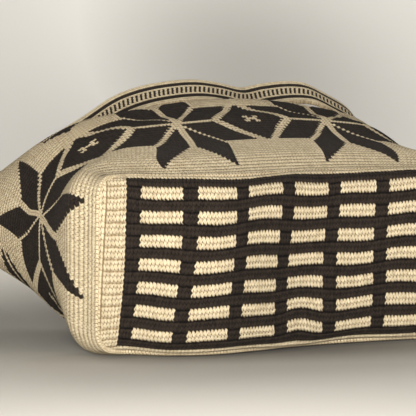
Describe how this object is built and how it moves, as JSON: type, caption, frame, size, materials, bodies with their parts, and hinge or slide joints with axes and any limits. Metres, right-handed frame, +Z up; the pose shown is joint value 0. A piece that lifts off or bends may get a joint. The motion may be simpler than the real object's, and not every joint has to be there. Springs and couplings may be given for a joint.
{
  "type": "tote bag",
  "caption": "Soft crocheted tote bag lying on its back, with a flat-worked base panel, an open tubular body and a band strap sewn across the mouth.",
  "frame": {"origin": "middle of the flat underside that the lying bag rests on", "axes": "+X along the length of the base, +Y from the base to the mouth, +Z up from the surface it lies on"},
  "size_m": [0.4124, 0.353, 0.2052],
  "materials": {
    "base_yarn": "matt ribbed crochet of dark brown cotton with rows of short cream bars and a cream border",
    "body_yarn": "matt single crochet of cream cotton with dark brown eight-point stars and diamonds",
    "strap_yarn": "matt crocheted band, cream and dark brown stripes with a ladder of short dark bars",
    "cream_yarn": "matt cream cotton yarn"
  },
  "bodies": {
    "root": {"base_panel": "base_yarn", "joining_round": "cream_yarn", "body": "body_yarn", "strap": "strap_yarn", "sewing_yarn_left": "cream_yarn", "sewing_yarn_right": "cream_yarn"}
  },
  "joints": []
}
